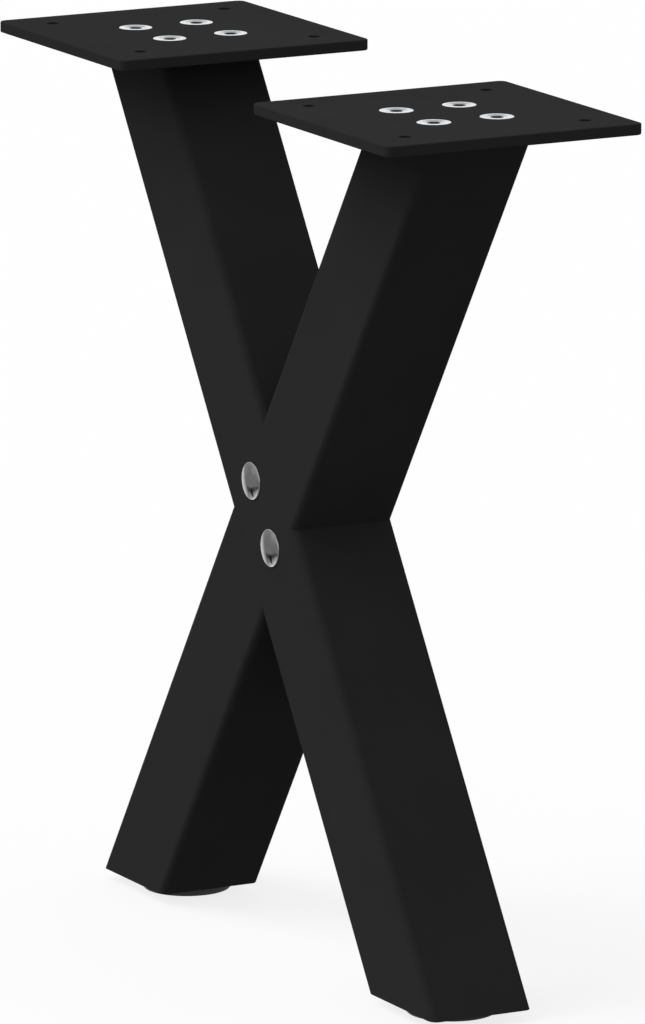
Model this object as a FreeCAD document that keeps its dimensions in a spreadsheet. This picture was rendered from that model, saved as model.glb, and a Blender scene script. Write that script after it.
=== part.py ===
"""X shaped table leg of square steel tube, with two mounting plates and levelling feet.

One arm is a single tube. The other is two halves whose mitred ends butt on the sides
of the first, coped round its corners so that the faces run on without a groove. Each
half carries a tongue that passes through a window into the first arm, where one bolt
holds it. A square plate is screwed to the top of each arm, and a levelling foot screws
into the bottom of each.

Millimetres, +Z up. X runs along the leg's width, -Y is the face with the domed bolt
heads, and the origin lies on the floor, midway between the feet.
"""
import FreeCAD, Part
import math
import os

import Sketcher

# Driving dimensions: name, value, meaning

DIMENSIONS = (
    ("arm_height", 311.0, "upright distance between an arm's two cut ends"),
    ("arm_angle", 33.6, "lean of each arm from the vertical, in degrees"),
    ("tube_size", 40.0, "outer side of the square tube"),
    ("tube_wall", 2.0, "wall of the square tube"),
    ("tube_corner", 3.0, "outer corner radius of the square tube"),
    ("plate_size", 100.0, "side of each mounting plate"),
    ("plate_thickness", 4.0, "thickness of each mounting plate"),
    ("plate_corner", 3.0, "corner radius of the mounting plates"),
    ("plate_edge", 0.5, "rounding of the plates' top and bottom edges"),
    ("plate_inset", 4.0, "each plate's centre inward of its arm's axis at the top"),
    ("wood_hole_spacing", 70.0, "square pattern of the holes near the plate corners"),
    ("wood_hole", 4.5, "diameter of the holes near the plate corners"),
    ("screw_wall_x", 4.1, "plate screws' axes from the tube's bore along the width"),
    ("screw_wall_y", 5.65, "plate screws' axes from the tube's bore along the depth"),
    ("screw_thread", 6.0, "thread diameter of the plate screws"),
    ("screw_clearance", 6.4, "diameter of the plate's holes for the screws"),
    ("screw_head", 12.0, "head diameter of the countersunk screws"),
    ("screw_length", 12.0, "overall length of the countersunk screws"),
    ("screw_land", 0.2, "straight edge of the countersunk heads"),
    ("screw_recess", 0.1, "depth of the screw heads below the plate's top"),
    ("countersink_gap", 0.1, "extra diameter of each countersink over its head"),
    ("screw_socket", 4.0, "across flats of the screws' hexagon sockets"),
    ("screw_socket_depth", 2.2, "depth of the screws' hexagon sockets"),
    ("thread_gap", 0.05, "radial gap between a plain thread and its tapped hole"),
    ("end_plate", 5.0, "thickness of the plates welded into the tube ends"),
    ("end_plate_gap", 0.1, "gap between an end plate and the tube round it"),
    ("end_plate_corner", 1.2, "corner radius of the end plates"),
    ("cope_reach", 2.6, "how far a half arm's walls reach round the whole arm's corners"),
    ("cope_gap", 0.1, "corner radius of the copes, less than the tube's by this"),
    ("tongue_wall", 2.0, "wall of the joint tongues"),
    ("tongue_corner", 1.5, "outer corner radius of the joint tongues"),
    ("tongue_inner_corner", 0.75, "inner corner radius of the joint tongues"),
    ("tongue_gap", 0.3, "gap on each side of a joint tongue"),
    ("tongue_grip", 40.0, "length of a joint tongue held inside its half arm"),
    ("tongue_end_gap", 0.5, "gap between a tongue's tip and the far wall"),
    ("bolt_edge", 5.7, "each cross bolt's axis from the outer side of its tongue"),
    ("bolt_rise", 1.5, "both cross bolts' axes, up the whole arm from their even places"),
    ("bolt_thread", 6.0, "diameter of the cross bolts"),
    ("bolt_hole", 6.6, "diameter of the round holes for the cross bolts"),
    ("bolt_head", 14.2, "diameter of the domed bolt heads"),
    ("bolt_head_rim", 0.15, "straight rim of the domed bolt heads"),
    ("bolt_head_height", 2.0, "overall height of the domed bolt heads"),
    ("bolt_neck", 6.0, "side of the square neck under each domed head"),
    ("bolt_neck_length", 1.9, "length of the square neck"),
    ("bolt_neck_gap", 0.1, "gap on each side of the square neck"),
    ("bolt_tip", 6.2, "length of the cross bolts beyond the washer"),
    ("thread_chamfer", 0.8, "chamfer at the tip of each thread"),
    ("washer_diameter", 12.5, "outer diameter of the washers"),
    ("washer_hole", 6.4, "hole of the washers"),
    ("washer_thickness", 1.6, "thickness of the washers"),
    ("nut_flats", 10.0, "across flats of the cross bolts' nuts"),
    ("nut_height", 5.0, "height of the cross bolts' nuts"),
    ("nut_bevel", 30.0, "slope of the nuts' corner chamfers, in degrees"),
    ("foot_inset", 1.9, "each foot's axis inward of its arm's axis at the bottom"),
    ("foot_setback", 1.7, "each foot's axis behind its arm's axis"),
    ("foot_gap", 0.3, "gap between the arms and the pads when screwed right in"),
    ("pad_diameter", 32.0, "diameter of the foot pads"),
    ("pad_height", 3.7, "height of the foot pads"),
    ("pad_base_edge", 0.4, "chamfer round the foot of each pad"),
    ("pad_top_edge", 0.5, "chamfer round the top of each pad"),
    ("pad_floor", 1.2, "thickness of each pad under the stud's flange"),
    ("flange_diameter", 22.0, "diameter of the flange at the foot of each stud"),
    ("flange_thickness", 1.5, "thickness of the studs' flange"),
    ("flange_gap", 0.1, "gap round the flange inside the pad"),
    ("pad_mouth", 10.0, "diameter of the opening in the top of each pad"),
    ("stud_thread", 8.0, "thread diameter of the levelling studs"),
    ("stud_top", 27.0, "height of the studs' tip above the floor"),
    ("stud_hole", 9.0, "diameter of the end plates' holes for the studs"),
    ("weld_nut_flats", 13.0, "across flats of the weld nuts"),
    ("weld_nut_height", 6.5, "height of the weld nuts"),
)

document = FreeCAD.newDocument("x_shaped_table_leg")
sheet = document.addObject("Spreadsheet::Sheet", "Sizes")
for row, (alias, number, meaning) in enumerate(DIMENSIONS, start=1):
    sheet.set(f"A{row}", alias)
    sheet.set(f"B{row}", str(number))
    sheet.set(f"C{row}", meaning)
    sheet.setAlias(f"B{row}", alias)
document.recompute()


class Size:
    """A length or angle as the formula the document follows, with its value now."""

    def __init__(self, formula, value):
        self.formula = formula
        self.value = value

    @staticmethod
    def of(other):
        """Gives back a Size, also for a plain number."""
        if isinstance(other, Size):
            return other
        return Size(f"{other:.9g}", other)

    def __add__(self, other):
        other = Size.of(other)
        return Size(f"({self.formula} + {other.formula})", self.value + other.value)

    def __sub__(self, other):
        other = Size.of(other)
        return Size(f"({self.formula} - {other.formula})", self.value - other.value)

    def __mul__(self, other):
        other = Size.of(other)
        return Size(f"({self.formula} * {other.formula})", self.value * other.value)

    def __truediv__(self, other):
        other = Size.of(other)
        return Size(f"({self.formula} / {other.formula})", self.value / other.value)

    def __neg__(self):
        return Size(f"(0 - {self.formula})", -self.value)


def size(alias):
    """A driving dimension, by its name in the sheet."""
    return Size(f"Sizes.{alias}", float(sheet.get(alias)))


def sine(angle):
    """The sine of an angle in degrees."""
    return Size(f"sin({angle.formula})", math.sin(math.radians(angle.value)))


def cosine(angle):
    """The cosine of an angle in degrees."""
    return Size(f"cos({angle.formula})", math.cos(math.radians(angle.value)))


def tangent(angle):
    """The tangent of an angle in degrees."""
    return Size(f"tan({angle.formula})", math.tan(math.radians(angle.value)))


# Lengths and places that follow from the driving dimensions

ORIGIN = Size.of(0.0)
LEAN = size("arm_angle")
CROSSING_ANGLE = LEAN * 2
TUBE_HALF = size("tube_size") / 2
BORE_HALF = TUBE_HALF - size("tube_wall")
ARM_BASE = size("pad_height") + size("foot_gap")
CROSSING_Z = ARM_BASE + size("arm_height") / 2
PLATE_Z = ARM_BASE + size("arm_height")
ARM_REACH = size("arm_height") / 2 * tangent(LEAN)
ARM_LENGTH = size("arm_height") / cosine(LEAN)
BLANK_LENGTH = ARM_LENGTH + size("tube_size") * 2
TONGUE_WIDTH = BORE_HALF - size("tongue_gap") * 2
TONGUE_DEPTH = (BORE_HALF - size("tongue_gap")) * 2
BOLT_OFFSET = (size("tongue_gap") + TONGUE_WIDTH - size("bolt_edge")) / sine(CROSSING_ANGLE)
PLATE_X = ARM_REACH - size("plate_inset")
SCREW_X = BORE_HALF / cosine(LEAN) - size("plate_inset") - size("screw_wall_x")
SCREW_Y = BORE_HALF - size("screw_wall_y")
SCREW_BORE = size("screw_thread") + size("thread_gap") * 2
FOOT_X = ARM_REACH - size("foot_inset")
CUT_REACH = TUBE_HALF * 1.5  # half width of the cuts at a tube's ends, past its sides
FULL_TURN = 360.0
UPSIDE_DOWN = 180.0
SAME_PLACE = 1e-6  # points nearer than this are one point, and thinner edges are level
COUNTERSINK_ANGLE = 90.0
PAST_THE_CORNERS = 1.2  # how far a nut's chamfering cut runs, in corner radii
CORNER_SIGNS = ((1, 1), (-1, 1), (-1, -1), (1, -1))


def set_size(thing, path, amount):
    """Binds one property of an object to a formula."""
    thing.setExpression(path, Size.of(amount).formula)


def new_body(label):
    """An empty body under its own name."""
    made = document.addObject("PartDesign::Body", label)
    made.Label = label
    return made


def place(body, x=ORIGIN, y=ORIGIN, z=ORIGIN, turn=None):
    """Sets a body's origin, and turns it about the Y axis by an angle in degrees."""
    spin = Size.of(turn) if turn is not None else ORIGIN
    body.Placement = FreeCAD.Placement(
        FreeCAD.Vector(x.value, y.value, z.value),
        FreeCAD.Rotation(FreeCAD.Vector(0, 1, 0), spin.value),
    )
    set_size(body, "Placement.Base.x", x)
    set_size(body, "Placement.Base.y", y)
    set_size(body, "Placement.Base.z", z)
    if turn is not None:
        set_size(body, "Placement.Rotation.Angle", spin)


def new_sketch(body, name, plane, height=None):
    """A sketch on one of the body's origin planes, or at a height above it."""
    sketch = body.newObject("Sketcher::SketchObject", name)
    support = [part for part in body.Origin.OriginFeatures if part.Role == plane]
    sketch.AttachmentSupport = [(support[0], "")]
    sketch.MapMode = "FlatFace"
    if height is not None:
        set_size(sketch, "AttachmentOffset.Base.z", height)
    return sketch


def fix(sketch, kind, *where, amount):
    """Adds a dimension to a sketch and binds it."""
    amount = Size.of(amount)
    index = sketch.addConstraint(Sketcher.Constraint(kind, *where, amount.value))
    set_size(sketch, f"Constraints[{index}]", amount)


def polygon(sketch, corners, domed_side=None):
    """A closed outline through given corners, whose domed side is an arc on the axis.

    The arc's centre lies on the sketch's vertical axis, so it is the section of a ball.
    """
    first = sketch.GeometryCount
    count = len(corners)
    ends = [FreeCAD.Vector(x.value, y.value, 0) for x, y in corners]
    start_points = []
    for number in range(count):
        here, there = ends[number], ends[(number + 1) % count]
        if number == domed_side:
            arc = ball_arc(here, there)
            sketch.addGeometry(arc, False)
            start_points.append(1 if arc.StartPoint.isEqual(here, SAME_PLACE) else 2)
        else:
            sketch.addGeometry(Part.LineSegment(here, there), False)
            start_points.append(1)
    for number in range(count):
        after = (number + 1) % count
        end_point = 3 - start_points[number]
        sketch.addConstraint(Sketcher.Constraint(
            "Coincident", first + number, end_point, first + after, start_points[after]))
    if domed_side is not None:
        sketch.addConstraint(Sketcher.Constraint("PointOnObject", first + domed_side, 3, -2))
    for number, (x, y) in enumerate(corners):
        fix(sketch, "DistanceX", -1, 1, first + number, start_points[number], amount=x)
        fix(sketch, "DistanceY", -1, 1, first + number, start_points[number], amount=y)


def ball_arc(here, there):
    """The arc between two points round a centre on the vertical axis."""
    centre_y = (there.x**2 + there.y**2 - here.x**2 - here.y**2) / (2 * (there.y - here.y))
    centre = FreeCAD.Vector(0, centre_y, 0)
    circle = Part.Circle(centre, FreeCAD.Vector(0, 0, 1), (here - centre).Length)
    angles = sorted(math.atan2(end.y - centre_y, end.x) for end in (here, there))
    return Part.ArcOfCircle(circle, angles[0], angles[1])


def rounded_rectangle(sketch, left, right, bottom, top, radius):
    """A rectangle between four lines, with its corners rounded to one radius."""
    first = sketch.GeometryCount
    low_x, high_x = left.value, right.value
    low_y, high_y, bend = bottom.value, top.value, radius.value
    lines = (
        ((low_x + bend, low_y), (high_x - bend, low_y)),
        ((high_x, low_y + bend), (high_x, high_y - bend)),
        ((high_x - bend, high_y), (low_x + bend, high_y)),
        ((low_x, high_y - bend), (low_x, low_y + bend)),
    )
    centres = (
        (high_x - bend, low_y + bend),
        (high_x - bend, high_y - bend),
        (low_x + bend, high_y - bend),
        (low_x + bend, low_y + bend),
    )
    for (start, end), centre, quarter in zip(lines, centres, (3, 0, 1, 2)):
        sketch.addGeometry(Part.LineSegment(
            FreeCAD.Vector(*start, 0), FreeCAD.Vector(*end, 0)), False)
        circle = Part.Circle(FreeCAD.Vector(*centre, 0), FreeCAD.Vector(0, 0, 1), bend)
        sketch.addGeometry(Part.ArcOfCircle(
            circle, quarter * math.pi / 2, (quarter + 1) * math.pi / 2), False)
    for side in range(4):
        line, arc = first + 2 * side, first + 2 * side + 1
        next_line = first + 2 * ((side + 1) % 4)
        sketch.addConstraint(Sketcher.Constraint("Tangent", line, 2, arc, 1))
        sketch.addConstraint(Sketcher.Constraint("Tangent", arc, 2, next_line, 1))
        straight = "Horizontal" if side % 2 == 0 else "Vertical"
        sketch.addConstraint(Sketcher.Constraint(straight, line))
        if side:
            sketch.addConstraint(Sketcher.Constraint("Equal", first + 1, arc))
    fix(sketch, "Radius", first + 1, amount=radius)
    fix(sketch, "DistanceY", -1, 1, first, 1, amount=bottom)
    fix(sketch, "DistanceX", -1, 1, first + 2, 1, amount=right)
    fix(sketch, "DistanceY", -1, 1, first + 4, 1, amount=top)
    fix(sketch, "DistanceX", -1, 1, first + 6, 1, amount=left)


def circle_at(sketch, x, y, diameter):
    """A circle by its centre and diameter."""
    index = sketch.GeometryCount
    centre = FreeCAD.Vector(x.value, y.value, 0)
    sketch.addGeometry(
        Part.Circle(centre, FreeCAD.Vector(0, 0, 1), diameter.value / 2), False)
    fix(sketch, "DistanceX", -1, 1, index, 3, amount=x)
    fix(sketch, "DistanceY", -1, 1, index, 3, amount=y)
    fix(sketch, "Diameter", index, amount=diameter)


def hexagon(sketch, flats):
    """A regular hexagon about the origin, with two corners on the horizontal axis."""
    corner = flats / math.sqrt(3)
    polygon(sketch, [
        (corner * round(math.cos(math.radians(turn)), 9),
         corner * round(math.sin(math.radians(turn)), 9))
        for turn in range(0, 360, 60)
    ])


def pad(body, name, sketch, length, both_ways=False, reverse=False):
    """Adds material along the sketch's normal."""
    feature = body.newObject("PartDesign::Pad", name)
    feature.Profile = sketch
    feature.SideType = "Symmetric" if both_ways else "One side"
    feature.Reversed = reverse
    set_size(feature, "Length", length)
    return feature


def pocket(body, name, sketch, length=None, both_ways=False, reverse=False):
    """Cuts the sketch's outline away, to a length or right through."""
    feature = body.newObject("PartDesign::Pocket", name)
    feature.Profile = sketch
    feature.SideType = "Symmetric" if both_ways else "One side"
    feature.Reversed = reverse
    if length is None:
        feature.Type = "ThroughAll"
    else:
        set_size(feature, "Length", length)
    return feature


def revolve(body, name, sketch):
    """Turns the sketch's outline right round its vertical axis."""
    feature = body.newObject("PartDesign::Revolution", name)
    feature.Profile = sketch
    feature.ReferenceAxis = (sketch, ["V_Axis"])
    feature.Angle = FULL_TURN
    return feature


# Arms

def tube_section(body):
    """The square tube's section, with its bore, across the arm's own length."""
    section = new_sketch(body, f"{body.Label}_section", "XY_Plane")
    rounded_rectangle(section, -TUBE_HALF, TUBE_HALF, -TUBE_HALF, TUBE_HALF,
                      size("tube_corner"))
    bore_corner = size("tube_corner") - size("tube_wall")
    rounded_rectangle(section, -BORE_HALF, BORE_HALF, -BORE_HALF, BORE_HALF, bore_corner)
    return section


def offcut(sketch, lean, upward):
    """The waste past a horizontal cut, at one end of a tube that leans."""
    far = BLANK_LENGTH * upward
    level = ARM_LENGTH / 2 * upward
    rise = CUT_REACH * tangent(lean)
    polygon(sketch, [(-CUT_REACH, level - rise), (CUT_REACH, level + rise),
                     (CUT_REACH, far), (-CUT_REACH, far)])


def crossing_point(across, along):
    """Where a line along the other arm meets one parallel to this arm's side.

    across is the distance from this arm's axis, and along is the line's distance from
    the other arm's axis, which crosses this one at twice the lean.
    """
    rise = (along + across * cosine(CROSSING_ANGLE)) / sine(CROSSING_ANGLE)
    return across, rise


def along_whole_arm(side):
    """A cross bolt's place up the whole arm from the crossing; side is 1 for the upper."""
    return BOLT_OFFSET * side + size("bolt_rise")


def main_arm():
    """The whole tube, from the upper left to the lower right."""
    body = new_body("main_arm")
    pad(body, "main_tube", tube_section(body), BLANK_LENGTH, both_ways=True)

    ends = new_sketch(body, "main_arm_ends", "XZ_Plane")
    offcut(ends, -LEAN, 1)
    offcut(ends, -LEAN, -1)
    pocket(body, "main_arm_end_cuts", ends, both_ways=True)

    windows = new_sketch(body, "tongue_windows", "XZ_Plane")
    inner = BORE_HALF - size("tube_wall") / 2
    outer = TUBE_HALF + size("tube_wall") / 2
    near_side = ORIGIN
    far_side = TONGUE_WIDTH + size("tongue_gap") * 2
    window = [
        crossing_point(inner, near_side),
        crossing_point(outer, near_side),
        crossing_point(outer, far_side),
        crossing_point(inner, far_side),
    ]
    polygon(windows, window)
    polygon(windows, [(-x, -z) for x, z in window])
    window_depth = TONGUE_DEPTH + size("tongue_gap")
    pocket(body, "tongue_window_cuts", windows, window_depth, both_ways=True)

    holes = new_sketch(body, "cross_bolt_holes", "XZ_Plane")
    for side in (1, -1):
        circle_at(holes, ORIGIN, along_whole_arm(side), size("bolt_hole"))
    pocket(body, "cross_bolt_back_holes", holes)

    necks = new_sketch(body, "square_neck_holes", "XZ_Plane")
    half = size("bolt_neck") / 2 + size("bolt_neck_gap")
    for side in (1, -1):
        middle = along_whole_arm(side)
        polygon(necks, [(-half, middle - half), (half, middle - half),
                        (half, middle + half), (-half, middle + half)])
    pocket(body, "square_neck_cuts", necks, reverse=True)

    place(body, z=CROSSING_Z, turn=-LEAN)
    return body


def half_arm(label, turn):
    """One half of the other tube, coped where it butts on the whole arm's side."""
    body = new_body(label)
    pad(body, f"{label}_tube", tube_section(body), BLANK_LENGTH / 2)

    ends = new_sketch(body, f"{label}_ends", "XZ_Plane")
    rise = CUT_REACH * cosine(CROSSING_ANGLE) / sine(CROSSING_ANGLE)
    level = (TUBE_HALF - size("cope_reach")) / sine(CROSSING_ANGLE)
    offcut(ends, LEAN, 1)
    polygon(ends, [(-CUT_REACH, -CUT_REACH), (CUT_REACH, -CUT_REACH),
                   (CUT_REACH, level - rise), (-CUT_REACH, level + rise)])
    pocket(body, f"{label}_end_cuts", ends, both_ways=True)

    cope = new_sketch(body, f"{label}_cope", "XY_Plane")
    cope.AttachmentOffset = FreeCAD.Placement(
        FreeCAD.Vector(0, 0, 0),
        FreeCAD.Rotation(FreeCAD.Vector(0, 1, 0), -CROSSING_ANGLE.value))
    set_size(cope, "AttachmentOffset.Rotation.Angle", -CROSSING_ANGLE)
    rounded_rectangle(cope, -TUBE_HALF, TUBE_HALF, -TUBE_HALF, TUBE_HALF,
                      size("tube_corner") - size("cope_gap"))
    pocket(body, f"{label}_cope_cut", cope, BLANK_LENGTH, both_ways=True)
    place(body, z=CROSSING_Z, turn=turn)
    return body


def joint_tongue(label, turn, side):
    """The short tube welded inside a half arm, which enters the whole arm."""
    body = new_body(label)
    section = new_sketch(body, f"{label}_section", "XY_Plane")
    gap = size("tongue_gap")
    wall = size("tongue_wall")
    left, right = -gap - TONGUE_WIDTH, -gap
    top = TONGUE_DEPTH / 2
    rounded_rectangle(section, left, right, -top, top, size("tongue_corner"))
    rounded_rectangle(section, left + wall, right - wall, wall - top, top - wall,
                      size("tongue_inner_corner"))

    grip = TUBE_HALF / sine(CROSSING_ANGLE) + size("tongue_grip")
    pad(body, f"{label}_outer_length", section, grip)
    tip_room = BORE_HALF - size("tongue_end_gap") + left * cosine(CROSSING_ANGLE)
    pad(body, f"{label}_inner_length", section, tip_room / sine(CROSSING_ANGLE), reverse=True)

    hole = new_sketch(body, f"{label}_hole", "XZ_Plane")
    away = along_whole_arm(side) * side
    circle_at(hole, -away * sine(CROSSING_ANGLE), away * cosine(CROSSING_ANGLE),
              size("bolt_hole"))
    pocket(body, f"{label}_bolt_hole", hole, both_ways=True)
    place(body, z=CROSSING_Z, turn=turn)
    return body


# Cross bolts, washers and nuts

def place_on_bolt(body, side, y, turn=None):
    """Sets a body's origin on one cross bolt's axis, at a depth."""
    along = along_whole_arm(side)
    place(body, x=-along * sine(LEAN), y=y, z=CROSSING_Z + along * cosine(LEAN), turn=turn)


def cross_bolt(label, side):
    """A domed bolt with a square neck, through the whole arm and one tongue."""
    body = new_body(label)
    head, rim = size("bolt_head") / 2, size("bolt_head_rim")
    shank = size("bolt_thread") / 2
    bevel = size("thread_chamfer")
    tip = size("tube_size") + size("washer_thickness") + size("bolt_tip")
    outline = new_sketch(body, f"{label}_outline", "XY_Plane")
    polygon(outline, [
        (ORIGIN, tip),
        (ORIGIN, -size("bolt_head_height")),
        (head, -rim),
        (head, ORIGIN),
        (shank, ORIGIN),
        (shank, tip - bevel),
        (shank - bevel, tip),
    ], domed_side=1)
    revolve(body, f"{label}_turned", outline)

    neck = new_sketch(body, f"{label}_neck", "XZ_Plane")
    half = size("bolt_neck") / 2
    polygon(neck, [(-half, -half), (half, -half), (half, half), (-half, half)])
    pad(body, f"{label}_square_neck", neck, size("bolt_neck_length"), reverse=True)
    place_on_bolt(body, side, -TUBE_HALF, turn=-LEAN)
    return body


def bolt_washer(label, side):
    """The washer between the back of the whole arm and a nut."""
    body = new_body(label)
    ring = new_sketch(body, f"{label}_ring", "XZ_Plane")
    circle_at(ring, ORIGIN, ORIGIN, size("washer_diameter"))
    circle_at(ring, ORIGIN, ORIGIN, size("washer_hole"))
    pad(body, f"{label}_disc", ring, size("washer_thickness"), reverse=True)
    place_on_bolt(body, side, TUBE_HALF)
    return body


def bolt_nut(label, side):
    """A plain hexagon nut with both its faces chamfered."""
    body = new_body(label)
    flats, height = size("nut_flats"), size("nut_height")
    outline = new_sketch(body, f"{label}_hexagon", "XZ_Plane")
    hexagon(outline, flats)
    circle_at(outline, ORIGIN, ORIGIN, size("bolt_thread") + size("thread_gap") * 2)
    pad(body, f"{label}_prism", outline, height, reverse=True)

    corner = flats / math.sqrt(3)
    flat = flats / 2
    slope = tangent(size("nut_bevel"))
    drop = (corner - flat) * slope
    chamfer = new_sketch(body, f"{label}_chamfer", "XY_Plane")
    beyond = corner * PAST_THE_CORNERS
    run_out = (beyond - flat) * slope
    polygon(chamfer, [(flat, -drop), (beyond, -drop), (beyond, run_out), (flat, ORIGIN)])
    polygon(chamfer, [(flat, height), (beyond, height - run_out),
                      (beyond, height + drop), (flat, height + drop)])
    groove = body.newObject("PartDesign::Groove", f"{label}_chamfers")
    groove.Profile = chamfer
    groove.ReferenceAxis = (chamfer, ["V_Axis"])
    groove.Angle = FULL_TURN
    place_on_bolt(body, side, TUBE_HALF + size("washer_thickness"))
    return body


# Mounting plates and their screws

def level_edges(shape):
    """The names of a plate's edges that lie in its top or bottom face."""
    return [
        f"Edge{number}" for number, edge in enumerate(shape.Edges, start=1)
        if edge.BoundBox.ZLength < SAME_PLACE
    ]


def mounting_plate(label, side):
    """A square plate with countersunk holes in the middle and plain ones outside."""
    body = new_body(label)
    half, thickness = size("plate_size") / 2, size("plate_thickness")
    outline = new_sketch(body, f"{label}_outline", "XY_Plane")
    rounded_rectangle(outline, -half, half, -half, half, size("plate_corner"))
    blank = pad(body, f"{label}_blank", outline, thickness)
    document.recompute()

    rounding = body.newObject("PartDesign::Fillet", f"{label}_rounding")
    rounding.Base = (blank, level_edges(blank.Shape))
    set_size(rounding, "Radius", size("plate_edge"))

    corners = new_sketch(body, f"{label}_wood_holes", "XY_Plane", thickness)
    reach = size("wood_hole_spacing") / 2
    for x, y in CORNER_SIGNS:
        circle_at(corners, reach * x, reach * y, size("wood_hole"))
    pocket(body, f"{label}_wood_hole_cuts", corners)

    middle = new_sketch(body, f"{label}_screw_holes", "XY_Plane", thickness)
    for x, y in CORNER_SIGNS:
        circle_at(middle, SCREW_X * x, SCREW_Y * y, size("screw_clearance"))
    document.recompute()
    sinks = body.newObject("PartDesign::Hole", f"{label}_countersinks")
    sinks.Profile = middle
    document.recompute()
    sinks.DepthType = "ThroughAll"
    sinks.HoleCutType = "Countersink"
    sinks.HoleCutCustomValues = True
    sinks.HoleCutCountersinkAngle = COUNTERSINK_ANGLE
    set_size(sinks, "Diameter", size("screw_clearance"))
    set_size(sinks, "HoleCutDiameter", countersink_diameter())
    place(body, x=PLATE_X * side, z=PLATE_Z)
    return body


def countersink_diameter():
    """The countersink at the plate's top: the head's cone carried up to the surface."""
    above = size("screw_recess") + size("screw_land")
    return size("screw_head") + above * 2 + size("countersink_gap")


def plate_screws(label, side):
    """Four countersunk screws with hexagon sockets, in one group."""
    body = new_body(label)
    body.AllowCompound = True
    head, thread = size("screw_head") / 2, size("screw_thread") / 2
    land, length = size("screw_land"), size("screw_length")
    bevel = size("thread_chamfer")
    outline = new_sketch(body, f"{label}_outline", "XZ_Plane")
    polygon(outline, [
        (ORIGIN, ORIGIN),
        (ORIGIN, -length),
        (thread - bevel, -length),
        (thread, bevel - length),
        (thread, thread - head - land),
        (head, -land),
        (head, ORIGIN),
    ])
    turned = revolve(body, f"{label}_turned", outline)
    socket = new_sketch(body, f"{label}_socket", "XY_Plane")
    hexagon(socket, size("screw_socket"))
    sunk = pocket(body, f"{label}_sockets", socket, size("screw_socket_depth"))
    document.recompute()

    copies = body.newObject("PartDesign::LinearPattern", f"{label}_copies")
    copies.Originals = [turned, sunk]
    copies.Direction = (outline, ["H_Axis"])
    copies.Direction2 = (socket, ["V_Axis"])
    copies.Occurrences = 2
    copies.Occurrences2 = 2
    set_size(copies, "Length", SCREW_X * 2)
    set_size(copies, "Length2", SCREW_Y * 2)
    body.Tip = copies
    top = PLATE_Z + size("plate_thickness") - size("screw_recess")
    place(body, x=PLATE_X * side - SCREW_X, y=-SCREW_Y, z=top)
    return body


# End plates, weld nuts and levelling feet

def end_plate(label, side, top):
    """A level plate welded into the end of a leaning tube, bevelled to follow its walls."""
    body = new_body(label)
    thickness = size("end_plate")
    gap = size("end_plate_gap")
    half_width = (BORE_HALF - gap) / cosine(LEAN)
    half_depth = BORE_HALF - gap
    outline = new_sketch(body, f"{label}_outline", "XY_Plane")
    rounded_rectangle(outline, -half_width, half_width, -half_depth, half_depth,
                      size("end_plate_corner"))
    plate = pad(body, f"{label}_plate", outline, thickness)
    plate.UseCustomVector = True
    plate.AlongSketchNormal = True
    into_tube = -1 if top else 1
    set_size(plate, "Direction.x", tangent(LEAN) * -side)
    set_size(plate, "Direction.y", ORIGIN)
    set_size(plate, "Direction.z", into_tube)

    holes = new_sketch(body, f"{label}_holes", "XY_Plane")
    if top:
        middle = size("plate_inset") * -side
        for x, y in CORNER_SIGNS:
            circle_at(holes, middle + SCREW_X * x, SCREW_Y * y, SCREW_BORE)
    else:
        circle_at(holes, size("foot_inset") * -side, size("foot_setback"), size("stud_hole"))
    pocket(body, f"{label}_hole_cuts", holes, both_ways=True)
    place(body, x=ARM_REACH * side, z=PLATE_Z if top else ARM_BASE)
    return body


def weld_nut(label, side):
    """The hexagon nut on the bottom end plate that carries a levelling stud."""
    body = new_body(label)
    outline = new_sketch(body, f"{label}_outline", "XY_Plane")
    hexagon(outline, size("weld_nut_flats"))
    circle_at(outline, ORIGIN, ORIGIN, size("stud_thread") + size("thread_gap") * 2)
    pad(body, f"{label}_prism", outline, size("weld_nut_height"))
    place(body, x=FOOT_X * side, y=size("foot_setback"), z=ARM_BASE + size("end_plate"))
    return body


def foot_stud(label, side):
    """The threaded stud of a levelling foot, with the flange that its pad clips over."""
    body = new_body(label)
    seat = size("pad_floor")
    top = size("stud_top")
    flange, thread = size("flange_diameter") / 2, size("stud_thread") / 2
    bevel = size("thread_chamfer")
    above = seat + size("flange_thickness")
    outline = new_sketch(body, f"{label}_outline", "XZ_Plane")
    polygon(outline, [
        (ORIGIN, seat),
        (flange, seat),
        (flange, above),
        (thread, above),
        (thread, top - bevel),
        (thread - bevel, top),
        (ORIGIN, top),
    ])
    revolve(body, f"{label}_turned", outline)
    place(body, x=FOOT_X * side, y=size("foot_setback"))
    return body


def foot_pad(label, side):
    """The moulded pad, hollowed for the stud's flange, with a lip that holds it."""
    body = new_body(label)
    outer, height = size("pad_diameter") / 2, size("pad_height")
    floor, gap = size("pad_floor"), size("flange_gap")
    ceiling = floor + size("flange_thickness") + gap
    room = size("flange_diameter") / 2 + gap
    mouth = size("pad_mouth") / 2
    base_edge, top_edge = size("pad_base_edge"), size("pad_top_edge")
    outline = new_sketch(body, f"{label}_outline", "XZ_Plane")
    polygon(outline, [
        (ORIGIN, ORIGIN),
        (outer - base_edge, ORIGIN),
        (outer, base_edge),
        (outer, height - top_edge),
        (outer - top_edge, height),
        (mouth, height),
        (mouth, ceiling),
        (room, ceiling),
        (room, floor),
        (ORIGIN, floor),
    ])
    revolve(body, f"{label}_turned", outline)
    place(body, x=FOOT_X * side, y=size("foot_setback"))
    return body


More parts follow.
